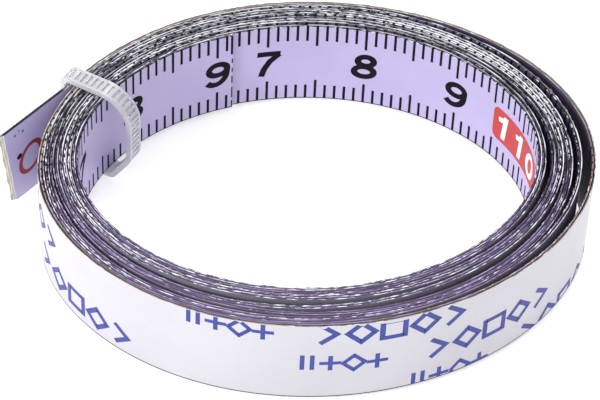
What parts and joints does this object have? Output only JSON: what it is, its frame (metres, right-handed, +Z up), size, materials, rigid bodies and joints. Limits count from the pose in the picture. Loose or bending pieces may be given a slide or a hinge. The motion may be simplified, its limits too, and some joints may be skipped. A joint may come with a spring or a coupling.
{
  "type": "tape measure",
  "caption": "Self-adhesive ruler tape wound into an open ring with its scale inward, its free end standing off and one cable tie round the coil.",
  "frame": {"origin": "middle of the whole object's footprint, on the floor under the cable tie", "axes": "+X to the right and +Y to the back as seen from the front, with the free end on the left; +Z up, along the width of the tape"},
  "size_m": [0.0582, 0.044, 0.0114],
  "materials": {
    "lilac_paint": "satin",
    "adhesive": "matt",
    "liner_paper": "satin",
    "clear_nylon": "satin"
  },
  "bodies": {
    "coil": {"scale_tape": "lilac_paint", "adhesive_layer": "adhesive", "release_liner": "liner_paper"},
    "free_end": {"scale_tape_end": "lilac_paint", "adhesive_end": "adhesive"},
    "free_liner": {"liner_end": "liner_paper"},
    "tie": {"cable_tie": "clear_nylon"},
    "pawl": {"tie_pawl": "clear_nylon"}
  },
  "joints": [
    {"name": "free_end_flex", "type": "hinge", "parent": "coil", "child": "free_end", "pos_m": [-0.0243, 0.00627, 0.00561], "axis": [0, 0, -1], "range_deg": [-30, 20], "stiffness_Nm_per_rad": 0.002},
    {"name": "liner_peel", "type": "hinge", "parent": "free_end", "child": "free_liner", "pos_m": [-0.02442, 0.00636, 0.00561], "axis": [0, 0, -1], "range_deg": [0, 45], "stiffness_Nm_per_rad": 0.0002},
    {"name": "tie_slide", "type": "hinge", "parent": "coil", "child": "tie", "pos_m": [-0.00288, -0.00271, 0.00561], "axis": [0, 0, 1], "range_deg": [-12, 0]},
    {"name": "pawl_flex", "type": "hinge", "parent": "tie", "child": "pawl", "pos_m": [-0.02504, 0.01042, 0.0024], "axis": [-0.4602, -0.8878, 0], "range_deg": [-3, 4], "stiffness_Nm_per_rad": 0.005}
  ]
}
